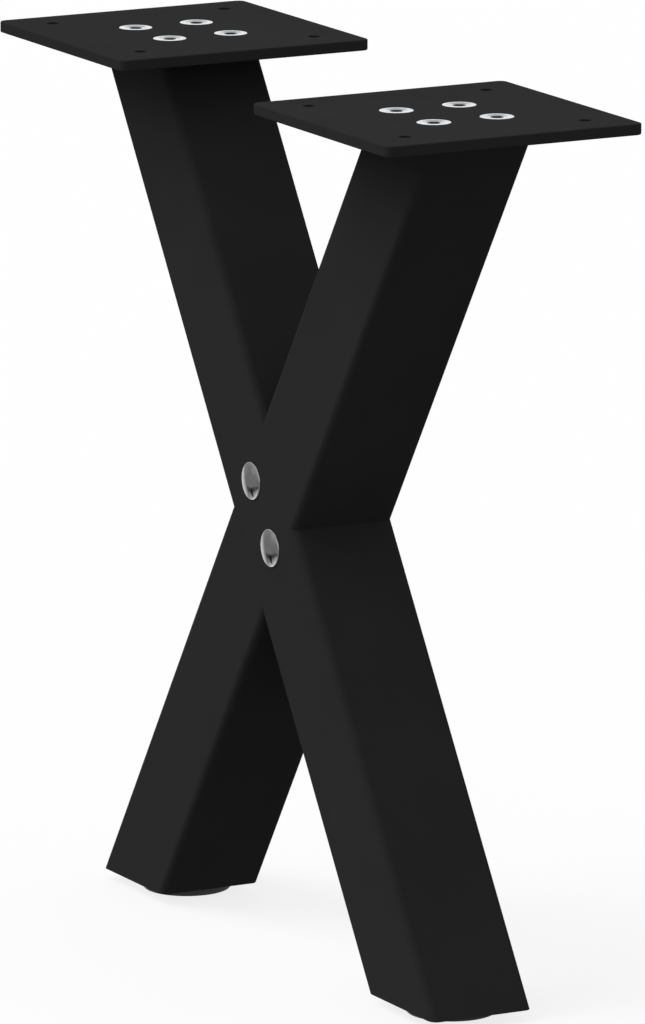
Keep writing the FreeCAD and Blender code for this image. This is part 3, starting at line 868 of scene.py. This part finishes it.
@dataclass
class CrossJoint:
    """The two bolts through the crossing, with their washers and nuts."""

    head_mm: float = 13.8
    head_height_mm: float = 1.4
    crown_mm: float = 26.0
    crown_rings: int = 16
    edge_round_mm: float = 0.5
    edge_start_deg: float = -85.0
    undercut_mm: float = 0.15
    undercut_height_mm: float = 0.06
    neck_mm: float = 6.0
    neck_length_mm: float = 1.9
    neck_corner_mm: float = 4.05
    neck_taper_mm: float = 0.3
    thread_mm: float = 6.0
    pitch_mm: float = 1.0
    thread_length_mm: float = 24.0
    bevel_mm: float = 0.8
    runout_mm: float = 0.1
    washer_round_mm: float = 0.3
    washer_burr_mm: float = 0.1
    washer_hole_mm: float = 6.4
    nut_flats_mm: float = 10.0
    nut_height_mm: float = 5.0
    nut_slope_deg: float = 30.0
    nut_sink_mm: float = 0.45
    nut_face_gap_mm: float = 0.15
    nut_edge_gap_mm: float = 0.02
    nut_edge_rise_mm: float = 0.03
    nut_flat_rise_mm: float = 0.04
    thread_gap_mm: float = 0.05
    around: int = 96

    def bolt(self, length_mm: float) -> Skin:
        """Draws a domed bolt along Z, its seat at height zero and its head below.

        The crown is part of a ball of radius C, and the edge is rounded to radius e, so
        that they meet smoothly where the crown's slope is asin((b - e) / (C - e)), with b
        the head's radius.

        Args:
            length_mm: its length from its seat to its tip.

        Returns:
            Its skin.
        """
        head, shank, edge = self.head_mm / 2, self.thread_mm / 2, self.edge_round_mm
        slope = math.asin((head - edge) / (self.crown_mm - edge))
        centre = self.crown_mm - self.head_height_mm
        rim = (self.crown_mm - edge) * math.cos(slope) - centre
        skin = Skin(self.around)
        skin.start(-self.head_height_mm)
        for tilt in np.linspace(slope / self.crown_rings, slope, self.crown_rings):
            skin.ring(self.crown_mm * math.sin(tilt), centre - self.crown_mm * math.cos(tilt))
        start = math.degrees(slope) + self.edge_start_deg
        skin.arc((head - edge, -rim), edge, start, OUTWARD, steps=10)
        skin.ring(head, -self.undercut_height_mm).ring(head - self.undercut_mm, 0.0)
        neck = skin.flats(self.neck_mm, 4, self.neck_corner_mm)
        skin.ring(neck, 0.0).ring(neck, self.neck_length_mm)
        skin.ring(shank, self.neck_length_mm + self.neck_taper_mm)
        root = length_mm - self.thread_length_mm
        skin.ring(shank, root - self.runout_mm)
        skin.thread(shank, self.pitch_mm, root, length_mm, self.bevel_mm)
        return skin.end(length_mm)

    def washer(self, outer: float, thick: float) -> Skin:
        """Draws a stamped washer along Z, with its lower face at height zero.

        Its lower edge is rounded, where the die entered, and its upper edge nearly sharp.

        Args:
            outer: its outer radius in millimetres.
            thick: its thickness in millimetres.

        Returns:
            Its skin.
        """
        hole, edge, burr = self.washer_hole_mm / 2, self.washer_round_mm, self.washer_burr_mm
        skin = Skin()
        skin.ring(hole, burr).ring(hole + burr, 0.0)
        skin.arc((outer - edge, edge), edge, DOWNWARD, OUTWARD, steps=4)
        skin.arc((outer - burr, thick - burr), burr, OUTWARD, UPWARD, steps=2)
        return skin.ring(hole + burr, thick).ring(hole, thick - edge)

    def nut(self) -> Skin:
        """Draws a hexagon nut along Z, chamfered on both faces, its seat at height zero.

        Returns:
            Its skin.
        """
        flat, height = self.nut_flats_mm / 2, self.nut_height_mm
        bore, sink = self.thread_mm / 2 + self.thread_gap_mm, self.nut_sink_mm
        face, edge = flat - self.nut_face_gap_mm, flat - self.nut_edge_gap_mm
        skin = Skin(self.around)
        hexagon = skin.flats(self.nut_flats_mm)
        drop = (hexagon - flat) * math.tan(math.radians(self.nut_slope_deg)) + self.nut_flat_rise_mm
        skin.ring(bore, sink).ring(bore + sink, 0.0)
        skin.ring(face, 0.0).ring(edge, self.nut_edge_rise_mm)
        skin.ring(hexagon, drop).ring(hexagon, height - drop)
        skin.ring(edge, height - self.nut_edge_rise_mm).ring(face, height)
        return skin.ring(bore + sink, height).ring(bore, height - sink)

    def build(self) -> None:
        """Makes both bolts with what is on them, square to the front of the whole arm."""
        lean = CoatedFrame.lean()
        across = Vector((math.cos(lean), 0, math.sin(lean)))
        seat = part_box("main_arm")[0].y
        for level in Level:
            self.build_one(level, across, seat)

    def build_one(self, level: Level, across: Vector, seat: float) -> None:
        """Makes one bolt with its washer and nut.

        Args:
            level: which of the two bolts.
            across: the direction square to the whole arm, across its front.
            seat: the place of that front along Y.
        """
        bolt, ring, nut = (f"{level.value}_{kind}" for kind in
                           ("cross_bolt", "bolt_washer", "bolt_nut"))
        centre, tip = middle(bolt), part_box(bolt)[1].y
        low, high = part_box(ring)
        washer = self.washer((high.x - low.x) / 2 / MM, (high.y - low.y) / MM)
        for name, node, skin, place, x_axis in (
                ("domed_bolt", bolt, self.bolt((tip - seat) / MM), seat, across),
                ("stamped_washer", ring, washer, low.y, X_AXIS),
                ("hexagon_nut", nut, self.nut(), high.y, X_AXIS)):
            there = placed(Vector((centre.x, place, centre.z)), x_axis, Y_AXIS)
            made = new_piece(f"{level.value}_{name}", [(skin, there)], NICKEL)
            stand_in(made, Body.FRAME, "nickel_plate", node)


@dataclass
class LevellingFeet:
    """The moulded pads and threaded studs under the arms."""

    pad_mm: float = 32.0
    pad_height_mm: float = 3.7
    base_round_mm: float = 0.5
    top_round_mm: float = 0.6
    mouth_mm: float = 10.0
    mouth_bevel_mm: float = 0.3
    recess_mm: float = 17.0
    recess_depth_mm: float = 0.45
    recess_draft_mm: float = 0.3
    recess_bevel_mm: float = 0.1
    groove_radii_mm: tuple[float, ...] = (10.6, 12.2, 13.8)
    groove_mm: float = 0.22
    floor_mm: float = 1.2
    flange_mm: float = 22.0
    flange_thick_mm: float = 1.5
    flange_gap_mm: float = 0.1
    flange_base_round_mm: float = 0.2
    flange_top_round_mm: float = 0.4
    stud_mm: float = 8.0
    stud_fillet_mm: float = 0.4
    thread_start_mm: float = 0.6
    pitch_mm: float = 1.25
    stud_top_mm: float = 27.0
    stud_bevel_mm: float = 0.8
    pad_around: int = 128
    stud_around: int = 64

    def pad(self) -> Skin:
        """Draws a pad along Z, standing at height zero, hollow for the stud's flange.

        Returns:
            Its skin.
        """
        outer, height, recess = self.pad_mm / 2, self.pad_height_mm, self.recess_mm / 2
        base, top, cut = self.base_round_mm, self.top_round_mm, self.groove_mm
        ceiling = self.floor_mm + self.flange_thick_mm + self.flange_gap_mm
        room = self.flange_mm / 2 + self.flange_gap_mm
        mouth, bevel, lip = self.mouth_mm / 2, self.mouth_bevel_mm, self.recess_bevel_mm
        skin = Skin(self.pad_around)
        skin.start(self.recess_depth_mm)
        skin.ring(recess - self.recess_draft_mm, self.recess_depth_mm)
        skin.ring(recess, lip).ring(recess + lip, 0.0)
        for radius in self.groove_radii_mm:
            skin.ring(radius - cut, 0.0).ring(radius, cut).ring(radius + cut, 0.0)
        skin.arc((outer - base, base), base, DOWNWARD, OUTWARD, steps=6)
        skin.arc((outer - top, height - top), top, OUTWARD, UPWARD, steps=8)
        skin.ring(mouth + bevel, height).ring(mouth, height - bevel)
        skin.ring(mouth, ceiling).ring(room, ceiling).ring(room, self.floor_mm)
        return skin.end(self.floor_mm)

    def stud(self) -> Skin:
        """Draws a stud along Z on its flange, at its height in the pad.

        Returns:
            Its skin.
        """
        flange, shank = self.flange_mm / 2, self.stud_mm / 2
        floor, above = self.floor_mm, self.floor_mm + self.flange_thick_mm
        base, top, fillet = self.flange_base_round_mm, self.flange_top_round_mm, self.stud_fillet_mm
        skin = Skin(self.stud_around)
        skin.start(floor)
        skin.arc((flange - base, floor + base), base, DOWNWARD, OUTWARD, steps=3)
        skin.arc((flange - top, above - top), top, OUTWARD, UPWARD, steps=4)
        skin.arc((shank + fillet, above + fillet), fillet, DOWNWARD, INWARD, steps=4)
        skin.thread(shank, self.pitch_mm, above + self.thread_start_mm, self.stud_top_mm,
                    self.stud_bevel_mm)
        return skin.end(self.stud_top_mm)

    def build(self) -> None:
        """Makes both feet, each on the axis of its packed pad."""
        for hand in Hand:
            centre = middle(f"{hand.value}_foot_pad")
            there = placed(Vector((centre.x, centre.y, 0.0)), X_AXIS, Z_AXIS)
            pad = new_piece(f"{hand.value}_moulded_pad", [(self.pad(), there)], NYLON)
            stand_in(pad, Body.foot(hand), "pad_plastic", f"{hand.value}_foot_pad")
            stud = new_piece(f"{hand.value}_threaded_stud", [(self.stud(), there)], ROLLED_ZINC)
            stand_in(stud, Body.foot(hand), "zinc_stud", f"{hand.value}_foot_stud")


# Studio

@dataclass(frozen=True)
class Key:
    """The main light: a wide soft disc, far enough off to light the floor evenly."""

    azimuth_deg: float
    elevation_deg: float
    width_deg: float
    level: float

    def build(self) -> None:
        """Places the light. Its level is what a white card that faces it gives back."""
        light = bpy.data.lights.new("key", "SUN")
        light.energy = self.level * math.pi
        light.angle = math.radians(self.width_deg)
        lamp = bpy.data.objects.new("key", light)
        away = direction(self.azimuth_deg, self.elevation_deg)
        lamp.rotation_euler = away.to_track_quat("Z", "Y").to_euler()
        lamp.visible_glossy = False
        bpy.context.scene.collection.objects.link(lamp)


@dataclass(frozen=True)
class Glow:
    """A soft panel far off, seen as a round patch of light, or as a dark card."""

    azimuth_deg: float
    elevation_deg: float
    inner_deg: float
    outer_deg: float
    level: float

    def add(self, tree: Tree, where: Socket, total: Socket) -> Socket:
        """Adds its light to a total.

        Args:
            tree: the world's node tree.
            where: the direction looked in.
            total: the light so far.

        Returns:
            The new total.
        """
        towards = direction(self.azimuth_deg, self.elevation_deg)
        facing = add_node(tree, "ShaderNodeVectorMath", {0: where, 1: towards},
                          operation="DOT_PRODUCT")
        patch = add_node(tree, "ShaderNodeMapRange", {
            "Value": facing.outputs["Value"],
            "From Min": math.cos(math.radians(self.outer_deg)),
            "From Max": math.cos(math.radians(self.inner_deg)),
            "To Min": 0.0, "To Max": self.level}, interpolation_type="SMOOTHSTEP")
        return add_node(tree, "ShaderNodeMath", {0: total, 1: patch.outputs["Result"]},
                        operation="ADD").outputs[0]


@dataclass(frozen=True)
class DarkStrip:
    """A dark strip far off: a row of soft round cards, which the polished heads mirror."""

    start_deg: tuple[float, float]
    end_deg: tuple[float, float]
    cards: int
    edge_deg: tuple[float, float]
    level: float

    def glows(self) -> list[Glow]:
        """Its cards, evenly spaced from its first azimuth and elevation to its last."""
        places = np.linspace(self.start_deg, self.end_deg, self.cards)
        return [Glow(azimuth, elevation, *self.edge_deg, self.level) for azimuth, elevation in places]


def direction(azimuth_deg: float, elevation_deg: float) -> Vector:
    """The way from the leg to a viewer: (sin a cos e, -cos a cos e, sin e).

    Args:
        azimuth_deg: the viewer's azimuth a, which turns from -Y to +X.
        elevation_deg: the viewer's elevation e.

    Returns:
        A direction one long.
    """
    azimuth, elevation = math.radians(azimuth_deg), math.radians(elevation_deg)
    return Vector((math.sin(azimuth) * math.cos(elevation),
                   -math.cos(azimuth) * math.cos(elevation), math.sin(elevation)))


@dataclass
class Studio:
    """The pale floor, soft lights and the camera at the photograph's viewing angle."""

    camera_azimuth_deg: float = 62.06
    camera_elevation_deg: float = 12.03
    camera_distance: float = 3.659
    camera_target: tuple[float, float, float] = (0.04584, -0.02003, 0.17040)
    lens_mm: float = 366.5
    sensor_mm: float = 36.0
    clip: tuple[float, float] = (0.1, 200.0)
    floor_radius: float = 30.0
    floor_first_mm: float = 50.0
    floor_rings: int = 24
    floor_around: int = 96
    floor_colour: str = "#747474"
    floor_roughness: float = 0.9
    floor_glow: float = 0.815
    seen_world: float = 0.98
    sky: float = 0.59
    ground: float = 0.265
    horizon: float = 0.15
    key: Key = Key(-36.0, 41.5, 50.0, 0.638)
    glows: tuple[Glow, ...] = (
        Glow(-118.0, 10.0, 12.0, 22.0, 0.7),
        Glow(-102.0, -16.0, 15.0, 31.0, 0.62),
        Glow(-66.0, -35.0, 7.5, 14.5, 0.75),
        Glow(-51.0, -34.0, 7.5, 14.5, 0.7),
        Glow(-37.0, -29.0, 6.5, 13.0, 0.6),
        Glow(-60.0, 8.0, 6.0, 16.0, -0.12),
    )
    strips: tuple[DarkStrip, ...] = (
        DarkStrip((-67.0, -17.6), (-56.0, -18.6), 3, (0.6, 3.1), -0.24),
        DarkStrip((-51.5, -18.2), (-35.0, -16.4), 4, (0.6, 3.1), -0.23),
        DarkStrip((-56.0, -19.6), (-57.6, -23.0), 4, (0.9, 3.6), -0.21),
    )

    def build(self) -> None:
        """Builds the whole studio."""
        self.make_world()
        self.make_floor()
        self.key.build()
        self.make_camera()

    def make_camera(self) -> None:
        """Places the camera and makes it the scene's own."""
        lens = bpy.data.cameras.new("camera")
        lens.lens = self.lens_mm
        lens.sensor_width = self.sensor_mm
        lens.clip_start, lens.clip_end = self.clip
        camera = bpy.data.objects.new("camera", lens)
        back = direction(self.camera_azimuth_deg, self.camera_elevation_deg)
        camera.location = Vector(self.camera_target) + back * self.camera_distance
        camera.rotation_euler = (-back).to_track_quat("-Z", "Y").to_euler()
        bpy.context.scene.collection.objects.link(camera)
        bpy.context.scene.camera = camera

    def make_floor(self) -> None:
        """Lays a wide flat disc of rings, out to the studio's edge."""
        skin = Skin(self.floor_around)
        skin.start(0.0)
        for radius in np.geomspace(self.floor_first_mm, self.floor_radius / MM, self.floor_rings):
            skin.ring(radius, 0.0)
        mesh = bpy.data.meshes.new("floor")
        mesh.from_pydata(skin.points().tolist(), [], skin.quads()[0].tolist() + skin.fans().tolist())
        floor = bpy.data.objects.new("floor", mesh)
        floor.data.materials.append(self.floor_paint())
        floor.visible_diffuse = False
        floor.visible_glossy = False
        bpy.context.scene.collection.objects.link(floor)

    def floor_paint(self) -> bpy.types.Material:
        """Makes the floor's grey, with a glow of its own that keeps its shadows faint.

        Returns:
            The material.
        """
        paint = bpy.data.materials.new("lit_studio_floor")
        paint.use_nodes = True
        shader = paint.node_tree.nodes["Principled BSDF"]
        shader.inputs["Base Color"].default_value = linear(self.floor_colour)
        shader.inputs["Roughness"].default_value = self.floor_roughness
        shader.inputs["Specular IOR Level"].default_value = 0.0
        shader.inputs["Emission Color"].default_value = WHITE
        shader.inputs["Emission Strength"].default_value = self.floor_glow
        return paint

    def make_world(self) -> None:
        """Lights the leg from a pale sky and a dimmer ground, and shows white behind it.

        The light from a direction whose height is z is the ground's below the horizon
        and the sky's above it, with a soft step between.
        """
        world = bpy.data.worlds.new("studio")
        world.use_nodes = True
        tree = world.node_tree
        tree.nodes.clear()
        where = add_node(tree, "ShaderNodeTexCoord")
        parts = add_node(tree, "ShaderNodeSeparateXYZ", {"Vector": where.outputs["Generated"]})
        level = add_node(tree, "ShaderNodeMapRange", {
            "Value": parts.outputs["Z"], "From Min": -self.horizon, "From Max": self.horizon,
            "To Min": self.ground, "To Max": self.sky}, interpolation_type="SMOOTHSTEP")
        total = level.outputs["Result"]
        cards = [card for strip in self.strips for card in strip.glows()]
        for glow in [*self.glows, *cards]:
            total = glow.add(tree, where.outputs["Generated"], total)
        lit = add_node(tree, "ShaderNodeMath", {0: total, 1: 0.0}, operation="MAXIMUM")
        fill = add_node(tree, "ShaderNodeBackground", {
            "Color": WHITE, "Strength": lit.outputs[0]})
        seen = add_node(tree, "ShaderNodeBackground", {
            "Color": WHITE, "Strength": self.seen_world})
        ray = add_node(tree, "ShaderNodeLightPath")
        mixed = add_node(tree, "ShaderNodeMixShader", {
            0: ray.outputs["Is Camera Ray"], 1: fill.outputs[0], 2: seen.outputs[0]})
        add_node(tree, "ShaderNodeOutputWorld", {"Surface": mixed.outputs[0]})
        bpy.context.scene.world = world


def main() -> None:
    """Builds the leg's looks and the studio round it."""
    logging.basicConfig(level=logging.INFO, format="%(name)s: %(message)s")
    bpy.context.scene.view_settings.view_transform = "Standard"
    for part in (CoatedFrame(), FootWelds(), PlateScrews(), CrossJoint(), LevellingFeet(), Studio()):
        part.build()
        LOG.info("%s done", type(part).__name__)


if __name__ == "__main__":
    main()
